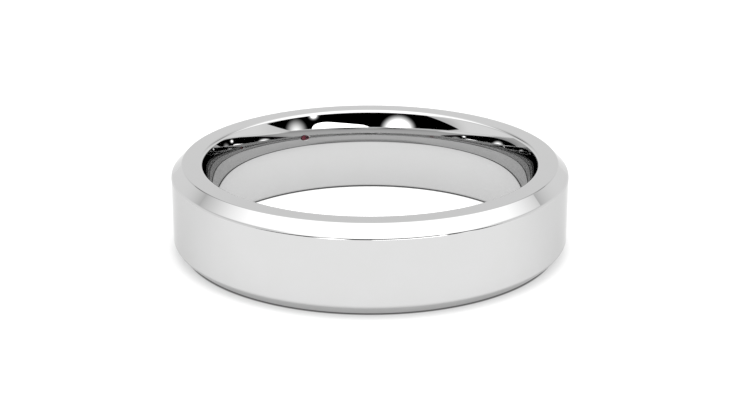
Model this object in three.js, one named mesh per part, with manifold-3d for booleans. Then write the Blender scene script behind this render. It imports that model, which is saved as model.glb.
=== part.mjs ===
// A polished wedding band with bevelled outer edges and a comfort-fit bore, and one small round ruby
// flush-set in the bore, where only its wearer knows of it.
//
// Units are millimetres. +Z runs along the finger, and the origin is the middle of the ring, so the
// band spans BAND_WIDTH / 2 to either side of it. The ruby looks at the axis from STONE_ANGLE.

import * as THREE from "three";
import { ConvexGeometry } from "three/addons/geometries/ConvexGeometry.js";
import { mergeVertices, toCreasedNormals } from "three/addons/utils/BufferGeometryUtils.js";
import Module from "manifold-3d";

const DEGREE = Math.PI / 180;
const QUARTER_TURN = Math.PI / 2;

// The band
const BAND_WIDTH = 5.0;
const OUTER_RADIUS = 11.2;
const BORE_RADIUS = 9.1; // at mid width, where the bore is narrowest
const CROWN_RADIUS = 8.5; // the comfort-fit rounding of the bore, across the width
const BEVEL = 0.62; // a 45 degree bevel along both outer edges
const BORE_EDGE_ROUND = 0.2; // the bore meets the rim in an edge that is eased for comfort
const RIM_EDGE_ROUND = 0.1; // the rim meets the bevel in the crispest edge
const FACE_EDGE_ROUND = 0.3; // the bevel meets the outside
const BAND_SEGMENTS = 96;
const CROWN_STEPS = 5; // from mid width to one edge
const EDGE_STEPS = 3;

// The ruby, a round brilliant
const STONE_ANGLE = -20 * DEGREE; // about Z, from +X
const GIRDLE_RADIUS = 0.8;
const TABLE_RADIUS = 0.56 * GIRDLE_RADIUS; // to the table's corners
const CROWN_ANGLE = 34.5 * DEGREE;
const PAVILION_ANGLE = 40.8 * DEGREE;
const GIRDLE_THICKNESS = 0.06;
const STAR_LENGTH = 0.5; // of the way from the table's edge to the girdle
const LOWER_HALF_LENGTH = 0.77; // of the way from the girdle to the culet
const MAIN_FACETS = 8;
const TABLE_RECESS = 0.05; // the table lies this far below the bore, clear of the finger

// The seat that is drilled for the ruby and closed over its girdle
const SEAT_CLEARANCE = 0.02;
const LIP_RADIUS = 0.73; // the burnished lip overlaps the girdle
const MOUTH_RADIUS = 0.9; // the conical bright cut around the lip, where it meets the bore
const BRIGHT_CUT_DEPTH = 0.15;
const PILOT_RADIUS = 0.5;
const PILOT_DEPTH = 1.1;
const DRILL_POINT_ANGLE = 59 * DEGREE; // half of the drill's 118 degree point
const SEAT_SEGMENTS = 32;

const WHITE_GOLD = new THREE.MeshStandardMaterial({ color: 0xc8c8c8, metalness: 1.0, roughness: 0.04 });
const RUBY = new THREE.MeshPhysicalMaterial({
  color: 0x8c0f2c,
  metalness: 0.0,
  roughness: 0.02,
  ior: 1.77,
  transmission: 0.6,
});

// Points along an arc, both ends included.
function arc(centre, radius, from, to, steps) {
  return Array.from({ length: steps + 1 }, (_, i) => {
    const angle = THREE.MathUtils.lerp(from, to, i / steps);
    return new THREE.Vector2(centre.x + radius * Math.cos(angle), centre.y + radius * Math.sin(angle));
  });
}

// The band's section above mid width, as (radius, height), from the bore over the rim to the outside.
function upperSection() {
  const rim = BAND_WIDTH / 2;
  const crownCentre = new THREE.Vector2(BORE_RADIUS + CROWN_RADIUS, 0);
  // The bore edge's round touches the flat rim and, from inside, the crown's circle.
  const reach = CROWN_RADIUS - BORE_EDGE_ROUND;
  const tilt = Math.asin((rim - BORE_EDGE_ROUND) / reach);
  const boreEdge = new THREE.Vector2(crownCentre.x - reach * Math.cos(tilt), rim - BORE_EDGE_ROUND);
  // An edge of the bevel turns 45 degrees, so its round ends this share of its radius from the corner.
  const setback = Math.tan(22.5 * DEGREE);
  const rimEdge = new THREE.Vector2(
    OUTER_RADIUS - BEVEL - setback * RIM_EDGE_ROUND,
    rim - RIM_EDGE_ROUND,
  );
  const faceEdge = new THREE.Vector2(
    OUTER_RADIUS - FACE_EDGE_ROUND,
    rim - BEVEL - setback * FACE_EDGE_ROUND,
  );
  return [
    ...arc(crownCentre, CROWN_RADIUS, Math.PI, Math.PI - tilt, CROWN_STEPS),
    ...arc(boreEdge, BORE_EDGE_ROUND, Math.PI - tilt, QUARTER_TURN, EDGE_STEPS).slice(1),
    ...arc(rimEdge, RIM_EDGE_ROUND, QUARTER_TURN, 45 * DEGREE, EDGE_STEPS),
    ...arc(faceEdge, FACE_EDGE_ROUND, 45 * DEGREE, 0, EDGE_STEPS),
  ];
}

// The whole section turned about Z, before the seat is cut.
function bandBlank() {
  const upper = upperSection();
  const lower = upper.map((point) => new THREE.Vector2(point.x, -point.y)).reverse();
  const section = [...upper, ...lower].reverse();
  return new THREE.LatheGeometry(section, BAND_SEGMENTS).rotateX(QUARTER_TURN);
}

// Heights in the ruby's own frame: its table faces +Z and the bore's surface is at 0.
const TABLE_Z = -TABLE_RECESS;
const GIRDLE_TOP_Z = TABLE_Z - (GIRDLE_RADIUS - TABLE_RADIUS) * Math.tan(CROWN_ANGLE);
const GIRDLE_BOTTOM_Z = GIRDLE_TOP_Z - GIRDLE_THICKNESS;
const CULET_Z = GIRDLE_BOTTOM_Z - GIRDLE_RADIUS * Math.tan(PAVILION_ANGLE);

// A round brilliant: table, stars, kites and upper halves above the girdle, and lower halves and
// mains below. The corners between two neighbouring kites, or mains, lie on both of their planes.
function brilliant() {
  const half = Math.PI / MAIN_FACETS;
  const tableEdge = TABLE_RADIUS * Math.cos(half);
  const starRadius = THREE.MathUtils.lerp(tableEdge, GIRDLE_RADIUS, STAR_LENGTH);
  const starZ = TABLE_Z - (starRadius * Math.cos(half) - TABLE_RADIUS) * Math.tan(CROWN_ANGLE);
  const lowerRadius = (1 - LOWER_HALF_LENGTH) * GIRDLE_RADIUS;
  const lowerZ = CULET_Z + lowerRadius * Math.cos(half) * Math.tan(PAVILION_ANGLE);
  const corner = (radius, angle, z) =>
    new THREE.Vector3(radius * Math.cos(angle), radius * Math.sin(angle), z);
  const corners = [new THREE.Vector3(0, 0, CULET_Z)];
  for (let i = 0; i < MAIN_FACETS; i++) {
    const main = 2 * half * i;
    const between = main + half;
    corners.push(corner(TABLE_RADIUS, main, TABLE_Z));
    corners.push(corner(starRadius, between, starZ));
    for (const angle of [main, between]) {
      corners.push(corner(GIRDLE_RADIUS, angle, GIRDLE_TOP_Z));
      corners.push(corner(GIRDLE_RADIUS, angle, GIRDLE_BOTTOM_Z));
    }
    corners.push(corner(lowerRadius, between, lowerZ));
  }
  return new ConvexGeometry(corners);
}

// What the setter removes for the ruby: a bright-cut mouth, a bearing that follows the stone from
// under the lip to its pavilion, and a blind pilot hole that leaves the culet free.
function seatCut() {
  const top = 0.2; // above the bore, so that the cut leaves no skin
  const brightSlope = (MOUTH_RADIUS - LIP_RADIUS) / BRIGHT_CUT_DEPTH;
  const lipZ = GIRDLE_TOP_Z + (GIRDLE_RADIUS - LIP_RADIUS) * Math.tan(CROWN_ANGLE) + SEAT_CLEARANCE;
  const girdle = GIRDLE_RADIUS + SEAT_CLEARANCE;
  const bearingEndZ = GIRDLE_BOTTOM_Z - SEAT_CLEARANCE - (girdle - PILOT_RADIUS) * Math.tan(PAVILION_ANGLE);
  const pilotEndZ = -PILOT_DEPTH;
  const section = [
    [0, pilotEndZ - PILOT_RADIUS / Math.tan(DRILL_POINT_ANGLE)],
    [PILOT_RADIUS, pilotEndZ],
    [PILOT_RADIUS, bearingEndZ],
    [girdle, GIRDLE_BOTTOM_Z - SEAT_CLEARANCE],
    [girdle, GIRDLE_TOP_Z + SEAT_CLEARANCE],
    [LIP_RADIUS, lipZ],
    [LIP_RADIUS, -BRIGHT_CUT_DEPTH],
    [MOUTH_RADIUS + brightSlope * top, top],
    [0, top],
  ].map(([radius, z]) => new THREE.Vector2(radius, z));
  return new THREE.LatheGeometry(section, SEAT_SEGMENTS).rotateX(QUARTER_TURN);
}

const wasm = await Module();
wasm.setup();

// A closed geometry as a solid, with its shared vertices merged.
function solid(geometry) {
  const bare = geometry.clone().deleteAttribute("normal").deleteAttribute("uv");
  const merged = mergeVertices(bare);
  return new wasm.Manifold(
    new wasm.Mesh({
      numProp: 3,
      vertProperties: new Float32Array(merged.getAttribute("position").array),
      triVerts: new Uint32Array(merged.index.array),
    }),
  );
}

// A solid as a geometry, smooth except across its sharp edges.
function geometryOf(body) {
  const mesh = body.getMesh();
  const geometry = new THREE.BufferGeometry();
  geometry.setAttribute("position", new THREE.BufferAttribute(mesh.vertProperties, 3));
  geometry.setIndex(new THREE.BufferAttribute(mesh.triVerts, 1));
  return toCreasedNormals(geometry, 20 * DEGREE);
}

// The ruby's frame: on the bore at STONE_ANGLE, with +Z towards the ring's axis.
const setting = new THREE.Group();
setting.rotation.z = STONE_ANGLE;
const stoneFrame = new THREE.Group();
stoneFrame.position.x = BORE_RADIUS;
stoneFrame.rotation.y = -QUARTER_TURN;
setting.add(stoneFrame);
setting.updateMatrixWorld(true);

const seatInPlace = seatCut().applyMatrix4(stoneFrame.matrixWorld);
const band = new THREE.Mesh(geometryOf(solid(bandBlank()).subtract(solid(seatInPlace))), WHITE_GOLD);
band.name = "band";

const ruby = new THREE.Mesh(brilliant(), RUBY);
ruby.name = "ruby";
stoneFrame.add(ruby);

const ring = new THREE.Group();
ring.name = "wedding_band";
ring.add(band, setting);

export default ring;
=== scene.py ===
"""A polished white gold wedding band with a ruby hidden in its bore, lying on a white table.

Lengths are in metres and angles in radians unless a name or a comment says otherwise. +Z runs along
the finger, the camera looks from the -Y side, and +X is to its right.
"""

import math

import bpy
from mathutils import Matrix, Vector


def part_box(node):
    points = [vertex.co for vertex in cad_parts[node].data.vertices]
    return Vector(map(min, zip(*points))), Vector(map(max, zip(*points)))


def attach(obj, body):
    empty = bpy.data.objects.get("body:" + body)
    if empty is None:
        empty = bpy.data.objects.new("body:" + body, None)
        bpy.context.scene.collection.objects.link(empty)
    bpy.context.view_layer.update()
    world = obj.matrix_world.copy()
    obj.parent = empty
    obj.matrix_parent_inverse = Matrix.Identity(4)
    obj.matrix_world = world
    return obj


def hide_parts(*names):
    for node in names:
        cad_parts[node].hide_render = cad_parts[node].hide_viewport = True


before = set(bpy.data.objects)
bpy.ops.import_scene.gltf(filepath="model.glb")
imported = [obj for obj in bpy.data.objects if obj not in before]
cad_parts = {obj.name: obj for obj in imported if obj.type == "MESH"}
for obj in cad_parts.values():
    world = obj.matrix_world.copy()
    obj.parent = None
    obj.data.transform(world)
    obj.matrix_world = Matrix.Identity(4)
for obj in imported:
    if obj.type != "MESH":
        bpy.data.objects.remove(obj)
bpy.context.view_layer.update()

MM = 0.001
DEGREE = math.pi / 180

# The band. Its outside, width and bore come from the CAD solid; the rest of the section is stated here.
# The least radius is where the seat cuts a flat facet of the bore, so it is 0.004 mm too small.
BAND_LOW, BAND_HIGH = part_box("band")
OUTER_RADIUS = (BAND_HIGH.x - BAND_LOW.x) / 2
HALF_WIDTH = (BAND_HIGH.z - BAND_LOW.z) / 2
BORE_RADIUS = min(math.hypot(v.co.x, v.co.y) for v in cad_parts["band"].data.vertices)
CROWN_RADIUS = 8.5 * MM  # the comfort-fit rounding of the bore, across the width
BEVEL = 0.62 * MM
BORE_EDGE_ROUND = 0.2 * MM
RIM_EDGE_ROUND = 0.1 * MM
FACE_EDGE_ROUND = 0.3 * MM
SEGMENTS = 720  # around the band
EDGE_STEPS = 8  # around each rounded edge
FLAT_STEPS = 4  # across the rim, and as many across the bevel
OUTSIDE_STEPS = 12

# The stone's place, and the patch of the bore that is meshed around its seat. Known fault: the middle
# of the ruby's box is 0.28 degrees off the ruby's axis, so the seat is 0.04 mm off to one side.
RUBY_LOW, RUBY_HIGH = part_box("ruby")
RUBY_CENTRE = (RUBY_LOW + RUBY_HIGH) / 2
STONE_ANGLE = math.atan2(RUBY_CENTRE.y, RUBY_CENTRE.x)
PATCH_HALF = 1.3 * MM
PATCH_COLUMNS = round(PATCH_HALF / BORE_RADIUS / (2 * math.pi / SEGMENTS))  # each side of the stone
PATCH_LEVELS = 14  # above and below the stone
PATCH_RINGS = 10  # from the patch's edge to the seat's mouth
CROWN_STEPS = 12  # from the patch to either edge of the bore
MIDDLE_LEVEL = PATCH_LEVELS - 1 + CROWN_STEPS  # of the outline's levels, the one at the stone's height

# The seat: a bright-cut mouth, a lip over the girdle, a bearing for the stone, and the drilled hole
MOUTH_RADIUS = 0.90 * MM
LIP_RADIUS = 0.73 * MM
BEARING_RADIUS = 0.82 * MM
PILOT_RADIUS = 0.50 * MM
DRILL_TIP = -1.4 * MM
SEAT = [  # (distance from the stone's axis, height above the bore), from the mouth inwards
    (LIP_RADIUS, -0.15 * MM),
    (LIP_RADIUS, -0.224 * MM),
    (BEARING_RADIUS, -0.272 * MM),
    (BEARING_RADIUS, -0.372 * MM),
    (PILOT_RADIUS, -0.650 * MM),
    (PILOT_RADIUS, -1.100 * MM),
]


class Skin:
    """Faces with a normal at every corner, so that a mirror finish shows the true curves."""

    def __init__(self):
        self.points = []
        self.faces = []
        self.normals = []

    def point(self, place):
        self.points.append(place)
        return len(self.points) - 1

    def face(self, corners):
        """Adds a face from (point index, normal) pairs that go round it counter-clockwise."""
        self.faces.append([index for index, _ in corners])
        self.normals.extend(normal for _, normal in corners)

    def build(self, name):
        mesh = bpy.data.meshes.new(name)
        mesh.from_pydata(self.points, [], self.faces)
        mesh.shade_smooth()
        mesh.normals_split_custom_set(self.normals)
        piece = bpy.data.objects.new(name, mesh)
        bpy.context.scene.collection.objects.link(piece)
        return piece


# The band's section. A section is a list of (place, normal) pairs of (radius, height) vectors.


def arc(centre, radius, start, end, steps):
    """A rounded edge, both ends included."""
    found = []
    for i in range(steps + 1):
        angle = start + (end - start) * i / steps
        normal = Vector((math.cos(angle), math.sin(angle)))
        found.append((centre + radius * normal, normal))
    return found


def between(first, last, steps):
    """Points strictly between two ends of a straight stretch."""
    normal = first[1]
    return [(first[0].lerp(last[0], i / steps), normal) for i in range(1, steps)]


def bore_edge():
    """The bore's upper edge, whose round touches the flat rim and, from inside, the crown's circle."""
    reach = CROWN_RADIUS - BORE_EDGE_ROUND
    tilt = math.asin((HALF_WIDTH - BORE_EDGE_ROUND) / reach)
    radius = BORE_RADIUS + CROWN_RADIUS - reach * math.cos(tilt)
    centre = Vector((radius, HALF_WIDTH - BORE_EDGE_ROUND))
    return tilt, arc(centre, BORE_EDGE_ROUND, math.pi - tilt, 90 * DEGREE, EDGE_STEPS)


def upper_section():
    """From the bore's upper edge over the rim to the outside, and the angle where the bore ends."""
    tilt, inner_edge = bore_edge()
    setback = math.tan(22.5 * DEGREE)  # of an edge that turns 45 degrees, as a share of its radius
    rim = Vector((OUTER_RADIUS - BEVEL - setback * RIM_EDGE_ROUND, HALF_WIDTH - RIM_EDGE_ROUND))
    outer = Vector((OUTER_RADIUS - FACE_EDGE_ROUND, HALF_WIDTH - BEVEL - setback * FACE_EDGE_ROUND))
    rim_edge = arc(rim, RIM_EDGE_ROUND, 90 * DEGREE, 45 * DEGREE, EDGE_STEPS)
    outer_edge = arc(outer, FACE_EDGE_ROUND, 45 * DEGREE, 0, EDGE_STEPS)
    flat = between(inner_edge[-1], rim_edge[0], FLAT_STEPS)
    bevel = between(rim_edge[-1], outer_edge[0], FLAT_STEPS)
    return tilt, inner_edge + flat + rim_edge + bevel + outer_edge


def crown_angles(tilt):
    """Angles of the bore's levels, from its lower edge to its upper one, with a level at the patch."""
    patch = math.asin(PATCH_HALF / CROWN_RADIUS)
    upper = [patch * i / PATCH_LEVELS for i in range(1, PATCH_LEVELS)]
    upper += [patch + (tilt - patch) * i / CROWN_STEPS for i in range(CROWN_STEPS)]
    return [-angle for angle in reversed(upper)] + [0.0] + upper


def section():
    """The closed section, from the bore's lower edge up, over, down the outside and back under."""
    tilt, upper = upper_section()
    crown = []
    for angle in crown_angles(tilt):
        radius = BORE_RADIUS + CROWN_RADIUS * (1 - math.cos(angle))
        place = Vector((radius, CROWN_RADIUS * math.sin(angle)))
        crown.append((place, Vector((-math.cos(angle), math.sin(angle)))))
    lower = [(Vector((p.x, -p.y)), Vector((n.x, -n.y))) for p, n in reversed(upper)]
    outside = between(upper[-1], lower[0], OUTSIDE_STEPS)
    return crown + upper + outside + lower


# The stone's own directions: away from the ring's axis, up, and along the bore
STONE_OUT = Vector((math.cos(STONE_ANGLE), math.sin(STONE_ANGLE), 0))
STONE_UP = Vector((0, 0, 1))
STONE_ALONG = STONE_UP.cross(-STONE_OUT)


def by_stone(along, up, rise):
    """A place measured from the bore at the stone. Rise is towards the ring's axis."""
    return STONE_OUT * (BORE_RADIUS - rise) + STONE_ALONG * along + STONE_UP * up


def stone_direction(along, up, rise):
    return (-STONE_OUT * rise + STONE_ALONG * along + STONE_UP * up).normalized()


def bore_at(along, up):
    """The bore's surface near the stone, and its normal."""
    across = math.sqrt(CROWN_RADIUS**2 - up**2)
    radius = BORE_RADIUS + CROWN_RADIUS - across
    depth = math.sqrt(radius**2 - along**2)
    normal = -STONE_OUT * depth / radius - STONE_ALONG * along / radius + STONE_UP * (up / across)
    return by_stone(along, up, BORE_RADIUS - depth), normal.normalized()


def wall(skin, outer, inner):
    """Faces between two closed rings of (point index, normal) pairs."""
    for i in range(len(outer)):
        j = (i + 1) % len(outer)
        skin.face([outer[i], outer[j], inner[j], inner[i]])


def bore_patch(skin, edge):
    """The bore from the patch's edge to the seat's mouth. Returns the mouth's points and angles."""
    places = [skin.points[index] for index, _ in edge]
    flat = [((place - STONE_OUT * BORE_RADIUS).dot(STONE_ALONG), place.z) for place in places]
    angles = [math.atan2(up, along) for along, up in flat]
    mouth = [(MOUTH_RADIUS * math.cos(angle), MOUTH_RADIUS * math.sin(angle)) for angle in angles]
    outer = edge
    for step in range(1, PATCH_RINGS + 1):
        share = step / PATCH_RINGS
        inner = []
        for (along, up), (mouth_along, mouth_up) in zip(flat, mouth):
            along += (mouth_along - along) * share
            up += (mouth_up - up) * share
            place, normal = bore_at(along, up)
            inner.append((skin.point(place), normal))
        wall(skin, outer, inner)
        outer = inner
    return [index for index, _ in outer], angles


def seat(skin, mouth, angles):
    """The walls inside the mouth, down to the drill's tip."""
    around = [(math.cos(angle), math.sin(angle)) for angle in angles]
    upper = mouth
    upper_radius = MOUTH_RADIUS
    upper_height = 0.0
    for radius, height in SEAT:
        lower = [skin.point(by_stone(radius * c, radius * s, height)) for c, s in around]
        drop = upper_height - height
        normals = [stone_direction(-drop * c, -drop * s, upper_radius - radius) for c, s in around]
        wall(skin, list(zip(upper, normals)), list(zip(lower, normals)))
        upper = lower
        upper_radius = radius
        upper_height = height
    tip = skin.point(by_stone(0, 0, DRILL_TIP))
    for i in range(len(upper)):
        j = (i + 1) % len(upper)
        skin.face([(index, -STONE_OUT) for index in (upper[i], upper[j], tip)])


class TurnedGrid:
    """The turned section's corners by level and column, each made when it is first asked for."""

    def __init__(self, skin):
        self.skin = skin
        self.outline = section()
        self.made = {}

    def turned(self, place, angle):
        return Vector((place.x * math.cos(angle), place.x * math.sin(angle), place.y))

    def at(self, level, column):
        level %= len(self.outline)
        column %= SEGMENTS
        if (level, column) not in self.made:
            angle = STONE_ANGLE + 2 * math.pi * column / SEGMENTS
            place, normal = self.outline[level]
            index = self.skin.point(self.turned(place, angle))
            self.made[level, column] = (index, self.turned(normal, angle))
        return self.made[level, column]


def patch_edge(grid):
    """The patch's edge, counter-clockwise as the stone is seen from the ring's axis."""
    low = MIDDLE_LEVEL - PATCH_LEVELS
    high = MIDDLE_LEVEL + PATCH_LEVELS
    edge = [grid.at(low, column) for column in range(PATCH_COLUMNS, -PATCH_COLUMNS, -1)]
    edge += [grid.at(level, -PATCH_COLUMNS) for level in range(low, high)]
    edge += [grid.at(high, column) for column in range(-PATCH_COLUMNS, PATCH_COLUMNS)]
    edge += [grid.at(level, PATCH_COLUMNS) for level in range(high, low, -1)]
    return edge


def make_band():
    skin = Skin()
    grid = TurnedGrid(skin)
    for column in range(-PATCH_COLUMNS, SEGMENTS - PATCH_COLUMNS):
        for level in range(len(grid.outline)):
            level_in_patch = -PATCH_LEVELS <= level - MIDDLE_LEVEL < PATCH_LEVELS
            if column < PATCH_COLUMNS and level_in_patch:
                continue
            skin.face([
                grid.at(level, column),
                grid.at(level + 1, column),
                grid.at(level + 1, column + 1),
                grid.at(level, column + 1),
            ])
    mouth, angles = bore_patch(skin, patch_edge(grid))
    seat(skin, mouth, angles)
    band = skin.build("polished_band")
    band.data.materials.append(white_gold())
    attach(band, "root")
    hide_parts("band")


class Number:
    """A number worked out by shader nodes, so that a formula can be written as one."""

    def __init__(self, tree, source):
        self.tree = tree
        self.source = source

    def maths(self, operation, *others):
        node = self.tree.nodes.new("ShaderNodeMath")
        node.operation = operation
        for socket, value in zip(node.inputs, (self, *others)):
            if isinstance(value, Number):
                self.tree.links.new(value.source, socket)
            else:
                socket.default_value = value
        return Number(self.tree, node.outputs[0])

    def __add__(self, other):
        return self.maths("ADD", other)

    def __sub__(self, other):
        return self.maths("SUBTRACT", other)

    def __mul__(self, other):
        return self.maths("MULTIPLY", other)

    def __neg__(self):
        return self.maths("MULTIPLY", -1.0)

    def flipped(self):
        """1 where the number is 0, and 0 where it is 1."""
        return -self + 1.0

    def size(self):
        return self.maths("ABSOLUTE")

    def at_least(self, other):
        return self.maths("MAXIMUM", other)

    def at_most(self, other):
        return self.maths("MINIMUM", other)

    def smooth(self, low, high):
        """0 below low, 1 above high, and a smooth step between them."""
        node = self.tree.nodes.new("ShaderNodeMapRange")
        node.interpolation_type = "SMOOTHSTEP"
        self.tree.links.new(self.source, node.inputs["Value"])
        node.inputs["From Min"].default_value = low
        node.inputs["From Max"].default_value = high
        return Number(self.tree, node.outputs["Result"])


def coordinates(tree, kind):
    """X, Y and Z of one of the texture coordinates."""
    source = tree.nodes.new("ShaderNodeTexCoord")
    split = tree.nodes.new("ShaderNodeSeparateXYZ")
    tree.links.new(source.outputs[kind], split.inputs[0])
    return [Number(tree, output) for output in split.outputs]


def noise(tree, x, y, z, detail):
    """Noise whose features are about one unit across in each coordinate."""
    joined = tree.nodes.new("ShaderNodeCombineXYZ")
    for socket, coordinate in zip(joined.inputs, (x, y, z)):
        tree.links.new(coordinate.source, socket)
    node = tree.nodes.new("ShaderNodeTexNoise")
    node.inputs["Scale"].default_value = 1.0
    node.inputs["Detail"].default_value = detail
    tree.links.new(joined.outputs[0], node.inputs["Vector"])
    return Number(tree, node.outputs[0])


def colour_between(tree, share, first, second):
    node = tree.nodes.new("ShaderNodeMix")
    node.data_type = "RGBA"
    tree.links.new(share.source, node.inputs["Factor"])
    node.inputs["A"].default_value = (*first, 1)
    node.inputs["B"].default_value = (*second, 1)
    return node.outputs["Result"]


def shader(tree, kind, socket, number):
    """A shader with one of its inputs worked out by nodes."""
    node = tree.nodes.new(kind)
    tree.links.new(number.source, node.inputs[socket])
    return node.outputs[0]


def both(tree, first, second):
    node = tree.nodes.new("ShaderNodeAddShader")
    tree.links.new(first, node.inputs[0])
    tree.links.new(second, node.inputs[1])
    return node.outputs[0]


def camera_sees(tree, to_camera, to_others):
    """One shader for the camera, and another for what the metal mirrors and what lights it."""
    path = tree.nodes.new("ShaderNodeLightPath")
    node = tree.nodes.new("ShaderNodeMixShader")
    tree.links.new(path.outputs["Is Camera Ray"], node.inputs[0])
    tree.links.new(to_others, node.inputs[1])
    tree.links.new(to_camera, node.inputs[2])
    return node.outputs[0]


# The metal: buffed to a mirror, with the faint lines of the last buff running around the band
GOLD_TONES = ((0.553, 0.553, 0.55), (0.567, 0.567, 0.57))
GOLD_EDGE_TINT = (0.8, 0.8, 0.8)  # lessens the brightening near grazing angles
BUFF_LENGTH = 3.0 * MM
BUFF_WIDTH = 0.02 * MM
BUFF_DEPTH = 0.000002 * MM
BUFF_DETAIL = 3.0
BUFF_SLANT = 0.7  # the lines differ with the height as well as with the radius
HAIRLINES = (0.68, 0.76)  # the lines' heights where a hairline starts and is full
HAZE_SIZE = 1.5 * MM
HAZE_DETAIL = 2.0
HAZE = (0.35, 0.7)
MIRROR_ROUGHNESS = 0.005
HAZE_ROUGHNESS = 0.02
HAIRLINE_ROUGHNESS = 0.08


def buff_lines(tree, x, y, z):
    # The angle's cosine and sine stand in for it, so that the pattern has no seam
    radius = (x * x + y * y).maths("SQRT")
    turns = OUTER_RADIUS / BUFF_LENGTH
    cosine = x.maths("DIVIDE", radius) * turns
    sine = y.maths("DIVIDE", radius) * turns
    across = (radius + z * BUFF_SLANT) * (1 / BUFF_WIDTH)
    return noise(tree, cosine, sine, across, BUFF_DETAIL)


def bump(tree, height, depth):
    node = tree.nodes.new("ShaderNodeBump")
    node.inputs["Strength"].default_value = 1.0
    node.inputs["Distance"].default_value = depth
    tree.links.new(height.source, node.inputs["Height"])
    return node.outputs[0]


def white_gold():
    material = bpy.data.materials.new("white_gold")
    material.use_nodes = True
    tree = material.node_tree
    surface = tree.nodes["Principled BSDF"]
    x, y, z = coordinates(tree, "Object")
    lines = buff_lines(tree, x, y, z)
    haze = noise(tree, *(number * (1 / HAZE_SIZE) for number in (x, y, z)), HAZE_DETAIL)
    roughness = haze.smooth(*HAZE) * (HAZE_ROUGHNESS - MIRROR_ROUGHNESS) + MIRROR_ROUGHNESS
    roughness = roughness + lines.smooth(*HAIRLINES) * (HAIRLINE_ROUGHNESS - HAZE_ROUGHNESS)
    tree.links.new(roughness.source, surface.inputs["Roughness"])
    tree.links.new(colour_between(tree, haze, *GOLD_TONES), surface.inputs["Base Color"])
    tree.links.new(bump(tree, lines, BUFF_DEPTH), surface.inputs["Normal"])
    surface.inputs["Specular Tint"].default_value = (*GOLD_EDGE_TINT, 1)
    surface.inputs["Metallic"].default_value = 1.0
    return material


# The ruby: deep red, with faint silk, the clouds of needles inside a natural stone
RUBY_TONES = ((0.18, 0.003, 0.022), (0.27, 0.006, 0.036))
RUBY_REFRACTION = 1.77
SILK_SIZE = 0.25 * MM
SILK_DETAIL = 4.0
SILK = (0.3, 0.7)
DENSE_SILK = (0.5, 0.8)
DENSE_SILK_ROUGHNESS = 0.03


def ruby_gem():
    material = bpy.data.materials.new("ruby")
    material.use_nodes = True
    tree = material.node_tree
    surface = tree.nodes["Principled BSDF"]
    place = [number * (1 / SILK_SIZE) for number in coordinates(tree, "Object")]
    silk = noise(tree, *place, SILK_DETAIL)
    colour = colour_between(tree, silk.smooth(*SILK), *RUBY_TONES)
    roughness = silk.smooth(*DENSE_SILK) * DENSE_SILK_ROUGHNESS
    tree.links.new(colour, surface.inputs["Base Color"])
    tree.links.new(roughness.source, surface.inputs["Roughness"])
    surface.inputs["IOR"].default_value = RUBY_REFRACTION
    surface.inputs["Transmission Weight"].default_value = 1.0
    return material


def finish_ruby():
    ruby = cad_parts["ruby"]
    ruby.data.materials.clear()
    ruby.data.materials.append(ruby_gem())


# The studio that the metal mirrors. In this section azimuths and elevations are in degrees: azimuth 0
# is the camera's side and 90 is +X. Brightness 1 is the white that the camera sees behind the table.
# A pair of numbers is where something starts and where it is full.
WALL = 1.16
WALL_FADE = 0.42  # lost by the ceiling's edge
WALL_FADE_POWER = 5.0
LEFT_SHADE = 0.3  # the share of the walls' light that is lost just above the dark room's left
RIGHT_SHADE = 0.15
LEFT_SHADE_FRONT = (0.0, 0.35)  # in terms of Direction.front
RIGHT_SHADE_FRONT = (0.2, 0.65)
LEFT_TO_RIGHT = (0, 40)  # the azimuths where one shade gives way to the other
SHADE_HEIGHT = 9.0
CEILING_EDGE = 27.5
CEILING_START = 1.0  # brightness
CEILING_TOP = 2.0
CEILING_SLOPE = 0.05  # brightness gained per degree
CEILING_BACK = (105, 130)  # to either side of azimuth 0
CEILING_BACK_SLOPE = -0.017  # added to it at the back
CEILING_CORNER_SLOPE = 0.006  # added to it in the two back corners
CEILING_TO_RIGHT = 0.2
CEILING_FRONT = (0.0, 0.6)  # in terms of Direction.front, where it is at its brightest throughout
CEILING_BLUR = 0.1  # half of the blur of its edge
CORNER_AZIMUTH = 147.0
CORNER_WIDTH = 30.0
CORNER_DIP = 0.8
ROOM_TOP = 22.4
ROOM_AZIMUTH = 12.5
ROOM_FLOOR = 3.0  # the room's lowest line, from which the floor rises to both sides
ROOM_RIGHT = 60.0
ROOM_LEFT = -58.0
RIGHT_RISE = 0.33
LEFT_RISE = 0.16
ROOM_BLUR = 0.15  # half of the blur of its edges
LAMPS = [
    {"azimuth": -20.5, "elevation": 1.0, "rim": 14.0, "power": 6.8},
    {"azimuth": 54.6, "elevation": 1.0, "rim": 12.0, "power": 2.0, "squeeze": 1.25},
    {"azimuth": 41.0, "elevation": 14.2, "rim": 6.1, "power": 6.0, "sharpness": 3.0},
]
WINDOW_AZIMUTH = 31.0
WINDOW_ELEVATION = 2.0
WINDOW_REACH = 11.5  # to the right
WINDOW_HEIGHT = 6.15
WINDOW_CORNER = 2.5  # the power that rounds its upper right corner
WINDOW_SLOPE = 0.125  # of its upper edge, which falls to the left
WINDOW_TOP = 8.25
WINDOW_TIP = 5.0  # left of this azimuth the edge falls faster
WINDOW_TIP_SLOPE = 0.25
WINDOW_POWER = 4.0
WINDOW_BLUR = 0.03  # in terms of the sum of powers that draws its outline
WINDOW_TOP_BLUR = 0.06
WINDOW_LEFT = (0.0, 2.0)
HORIZON = (-0.5, 0.0)  # the lights end here, at the table's level


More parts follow.
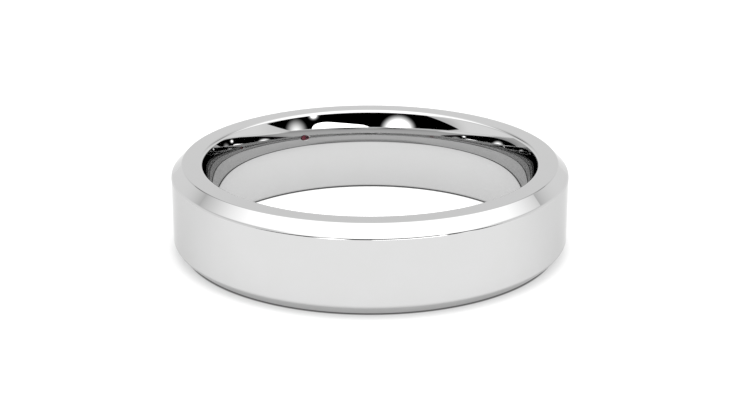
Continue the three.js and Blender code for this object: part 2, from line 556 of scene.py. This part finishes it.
class Direction:
    """The direction of a ray that leaves for the studio. Its angles are in degrees."""

    def __init__(self, tree):
        x, y, z = coordinates(tree, "Generated")
        self.x = x
        self.elevation = z.maths("ARCSINE") * (1 / DEGREE)
        self.azimuth = x.maths("ARCTAN2", -y) * (1 / DEGREE)
        self.aside = self.azimuth.size()
        # 1 towards the dark room's middle, falling to 0 at a right angle to it and beyond
        self.front = ((self.azimuth - ROOM_AZIMUTH) * DEGREE).maths("COSINE").at_least(0.0)
        room_top = (self.front * math.tan(ROOM_TOP * DEGREE)).maths("ARCTANGENT") * (1 / DEGREE)
        self.over_room = self.elevation - room_top


def studio_walls(ray):
    """Pale walls that fade upwards to the ceiling's edge, and towards the dark room."""
    height = ray.elevation * (1 / CEILING_EDGE)
    fade = -(height.at_least(0.0).maths("POWER", WALL_FADE_POWER) * WALL_FADE) + WALL
    left = ray.front.smooth(*LEFT_SHADE_FRONT) * LEFT_SHADE
    right = ray.front.smooth(*RIGHT_SHADE_FRONT) * RIGHT_SHADE
    shade = left + ray.azimuth.smooth(*LEFT_TO_RIGHT) * (right - left)
    return fade * (shade * ray.over_room.smooth(0.0, SHADE_HEIGHT).flipped()).flipped()


def studio_ceiling(ray):
    """A ceiling that brightens towards the zenith and is dim in the two back corners."""
    corner = (ray.aside - CORNER_AZIMUTH).size().smooth(0, CORNER_WIDTH).flipped()
    slope = ray.aside.smooth(*CEILING_BACK) * CEILING_BACK_SLOPE + corner * CEILING_CORNER_SLOPE
    rise = (ray.elevation - CEILING_EDGE) * (slope + CEILING_SLOPE)
    ceiling = rise + ray.x * CEILING_TO_RIGHT - corner * CORNER_DIP + CEILING_START
    return ceiling.at_most(CEILING_TOP).at_least(ray.front.smooth(*CEILING_FRONT) * CEILING_TOP)


def room_floor(ray):
    """The elevation of the dark room's lower edge."""
    right = (ray.azimuth - ROOM_RIGHT).at_least(0.0) * RIGHT_RISE
    left = (-ray.azimuth + ROOM_LEFT).at_least(0.0) * LEFT_RISE
    return right + left + ROOM_FLOOR


def lamp(ray, azimuth, elevation, rim, power, squeeze=1.0, sharpness=1.0):
    """A soft round lamp. Squeeze makes it narrower, and sharpness draws its light to the middle."""
    across = (ray.azimuth - azimuth) * squeeze
    above = ray.elevation - elevation
    distance = (across * across + above * above).maths("SQRT")
    return distance.smooth(0.0, rim).flipped().maths("POWER", sharpness) * power


def window(ray):
    """A bright window, rounded at its upper right and cut off by an edge that slopes to the left."""
    across = (ray.azimuth - WINDOW_AZIMUTH).at_least(0.0) * (1 / WINDOW_REACH)
    above = (ray.elevation - WINDOW_ELEVATION).at_least(0.0) * (1 / WINDOW_HEIGHT)
    outline = across.maths("POWER", WINDOW_CORNER) + above.maths("POWER", WINDOW_CORNER)
    top = (ray.azimuth - WINDOW_AZIMUTH) * WINDOW_SLOPE + WINDOW_TOP
    top = top + (ray.azimuth - WINDOW_TIP).at_most(0.0) * WINDOW_TIP_SLOPE
    inside = outline.flipped().smooth(-WINDOW_BLUR, WINDOW_BLUR)
    inside = inside * (top - ray.elevation).smooth(-WINDOW_TOP_BLUR, WINDOW_TOP_BLUR)
    return inside * ray.azimuth.smooth(*WINDOW_LEFT) * WINDOW_POWER


def studio(tree):
    """The studio's brightness in the direction of a ray."""
    ray = Direction(tree)
    walls = studio_walls(ray)
    ceiling = studio_ceiling(ray)
    edge = -(ray.front * (CEILING_EDGE - ROOM_TOP)) + CEILING_EDGE
    below_ceiling = (edge - ray.elevation).smooth(-CEILING_BLUR, CEILING_BLUR)
    light = ceiling + below_ceiling * (walls - ceiling)
    under_top = ray.over_room.smooth(-ROOM_BLUR, ROOM_BLUR).flipped()
    above_floor = (ray.elevation - room_floor(ray)).smooth(-ROOM_BLUR, ROOM_BLUR)
    light = light * (under_top * above_floor).flipped()
    lights = window(ray)
    for settings in LAMPS:
        lights = lights.at_least(lamp(ray, **settings))
    return light.at_least(lights * under_top * ray.elevation.smooth(*HORIZON))


def make_world():
    """The studio for the metal, and plain white behind the table for the camera."""
    world = bpy.data.worlds.new("studio")
    bpy.context.scene.world = world
    world.use_nodes = True
    tree = world.node_tree
    tree.nodes.clear()
    surroundings = tree.nodes.new("ShaderNodeBackground")
    backdrop = tree.nodes.new("ShaderNodeBackground")
    for background in (surroundings, backdrop):
        background.inputs["Color"].default_value = (1, 1, 1, 1)
    tree.links.new(studio(tree).source, surroundings.inputs["Strength"])
    output = tree.nodes.new("ShaderNodeOutputWorld")
    seen = camera_sees(tree, backdrop.outputs[0], surroundings.outputs[0])
    tree.links.new(seen, output.inputs["Surface"])


# The white table, with a shadow painted on it just beside the band's foot, which covers this ring of
# it.
TABLE_HALF = 3.0
TABLE_GAP = 0.01 * MM
FOOT_MIDDLE = 10.09 * MM
FOOT_HALF = 0.47 * MM
FOOT_BLUR = 0.1 * MM  # half of the change from the table inside the band to that outside it

# As the camera sees it: a diffuse white, and a glow of painted light that keeps it from greying
# A painted contact shadow beside the foot: dark out to the first distance from the foot's middle, and
# gone by the second
CONTACT_SHADOW = (FOOT_HALF + 0.04 * MM, FOOT_HALF + 0.16 * MM)
CONTACT_SHADOW_LIGHT = 0.25  # what is left of the light in the painted shadow beside the foot
TABLE_DIFFUSE = 0.48
# The glow is painted light, stronger inside the band than outside it
GLOW_INSIDE = 0.77
GLOW_OUTSIDE = 0.37
AWAY = (FOOT_HALF + 0.5 * MM, FOOT_HALF + 1.0 * MM)
GLOW_AWAY = 0.1  # painted light added further from the foot

# As the metal mirrors it: a glow of painted light, with painted shade towards the foot, and darker away
# from the camera
# Painted contact shadows in the crevice beside the foot, outside and inside the band
CREVICE_SHADOW = (FOOT_HALF, FOOT_HALF + 0.1 * MM)
INNER_CREVICE_SHADOW = (0.08 * MM, 0.4 * MM)  # the wider painted shadow inside the band, from the foot's edge
MIRRORED_DIFFUSE = 0.32
MIRRORED_BACK = 0.71
MIRRORED_FRONT = 0.14  # painted light added to it in front of the band
FRONT_REACH = 12 * MM
OUTSIDE_NEAR = 0.58  # the share of the light that the painted shade leaves beside the foot
OUTSIDE_REACH = 1.5 * MM
INSIDE_NEAR = 0.57
INSIDE_MORE = 0.48  # added to it further inside
INSIDE_REACH = 1.5 * MM
INSIDE_EDGE = 11.1 * MM  # where the light inside starts to grow, at the back
INSIDE_EDGE_SHIFT = 2.5 * MM  # how much nearer the axis that is in front, which widens the painted shade beside the band's front wall
INSIDE_EDGE_FRONT = 8 * MM


class Foot:
    """Where a point of the table is from the ring that the band's foot covers."""

    def __init__(self, tree):
        x, y, _ = coordinates(tree, "Object")
        self.forwards = -y
        self.radius = (x * x + y * y).maths("SQRT")
        self.beyond = self.radius - FOOT_MIDDLE
        self.beside = self.beyond.size()
        self.outside = self.beyond.smooth(-FOOT_BLUR, FOOT_BLUR)  # 1 outside the band and 0 inside it


def table_for_camera(tree, foot):
    # A painted contact shadow beside the foot darkens both the diffuse white and the glow
    contact_shadow = foot.beside.smooth(*CONTACT_SHADOW) * (1 - CONTACT_SHADOW_LIGHT) + CONTACT_SHADOW_LIGHT
    # Painted light: the glow, weaker outside the band and stronger away from the foot
    glow = foot.outside * (GLOW_OUTSIDE - GLOW_INSIDE) + GLOW_INSIDE
    glow = glow + foot.beside.smooth(*AWAY) * GLOW_AWAY
    diffuse = shader(tree, "ShaderNodeBsdfDiffuse", "Color", contact_shadow * TABLE_DIFFUSE)
    return both(tree, diffuse, shader(tree, "ShaderNodeEmission", "Strength", contact_shadow * glow))


def table_for_metal(tree, foot):
    # Painted shade near the foot, outside and inside the band, wider inside near the front wall
    outside = foot.beyond.smooth(FOOT_HALF, FOOT_HALF + OUTSIDE_REACH)
    outside = outside * (1 - OUTSIDE_NEAR) + OUTSIDE_NEAR
    edge = -(foot.forwards.smooth(0.0, INSIDE_EDGE_FRONT) * INSIDE_EDGE_SHIFT) + INSIDE_EDGE
    inside = (edge - foot.radius).smooth(0.0, INSIDE_REACH) * INSIDE_MORE + INSIDE_NEAR
    shade_near_foot = inside + foot.outside * (outside - inside)
    # Painted contact shadow beside the foot, which darkens the diffuse white and the glow
    crevice_shadow = foot.beside.smooth(*CREVICE_SHADOW)
    inner_crevice_shadow = (-foot.beyond - FOOT_HALF).smooth(*INNER_CREVICE_SHADOW)
    mirrored_contact_shadow = crevice_shadow.at_most(inner_crevice_shadow + foot.outside)
    # Painted light: the glow is brighter in front of the band than behind it
    front = foot.forwards.smooth(0.0, FRONT_REACH) * MIRRORED_FRONT + MIRRORED_BACK
    diffuse = shader(tree, "ShaderNodeBsdfDiffuse", "Color", mirrored_contact_shadow * MIRRORED_DIFFUSE)
    return both(tree, diffuse, shader(tree, "ShaderNodeEmission", "Strength", front * shade_near_foot * mirrored_contact_shadow))


def white_table():
    material = bpy.data.materials.new("white_table")
    material.use_nodes = True
    tree = material.node_tree
    tree.nodes.clear()
    foot = Foot(tree)
    output = tree.nodes.new("ShaderNodeOutputMaterial")
    seen = camera_sees(tree, table_for_camera(tree, foot), table_for_metal(tree, foot))
    tree.links.new(seen, output.inputs["Surface"])
    return material


def make_table():
    height = BAND_LOW.z - TABLE_GAP
    corners = [(-1, -1), (1, -1), (1, 1), (-1, 1)]
    places = [(x * TABLE_HALF, y * TABLE_HALF, height) for x, y in corners]
    mesh = bpy.data.meshes.new("table")
    mesh.from_pydata(places, [], [(0, 1, 2, 3)])
    mesh.materials.append(white_table())
    table = bpy.data.objects.new("table", mesh)
    bpy.context.scene.collection.objects.link(table)


# The camera's place, in outside radii of the band: in front of its middle, and above the table
CAMERA_FORWARDS = 7.898
CAMERA_HEIGHT = 3.034
CAMERA_DOWN = 19.883  # degrees
SENSOR_WIDTH_MM = 36.0
LENS_MM = 80.07
NEAREST_SEEN = 1 * MM


def make_camera():
    camera = bpy.data.objects.new("camera", bpy.data.cameras.new("camera"))
    bpy.context.scene.collection.objects.link(camera)
    camera.data.sensor_width = SENSOR_WIDTH_MM
    camera.data.lens = LENS_MM
    camera.data.clip_start = NEAREST_SEEN
    height = BAND_LOW.z + CAMERA_HEIGHT * OUTER_RADIUS
    camera.location = (0.0, -CAMERA_FORWARDS * OUTER_RADIUS, height)
    camera.rotation_euler = (math.radians(90 - CAMERA_DOWN), 0.0, 0.0)
    bpy.context.scene.camera = camera


MOST_BOUNCES = 12
MOST_REFLECTIONS = 4  # later ones show as grain at the bore's two ends

make_band()
finish_ruby()
make_table()
make_world()
make_camera()
bpy.context.scene.view_settings.view_transform = "Standard"
bpy.context.scene.cycles.max_bounces = MOST_BOUNCES
bpy.context.scene.cycles.glossy_bounces = MOST_REFLECTIONS
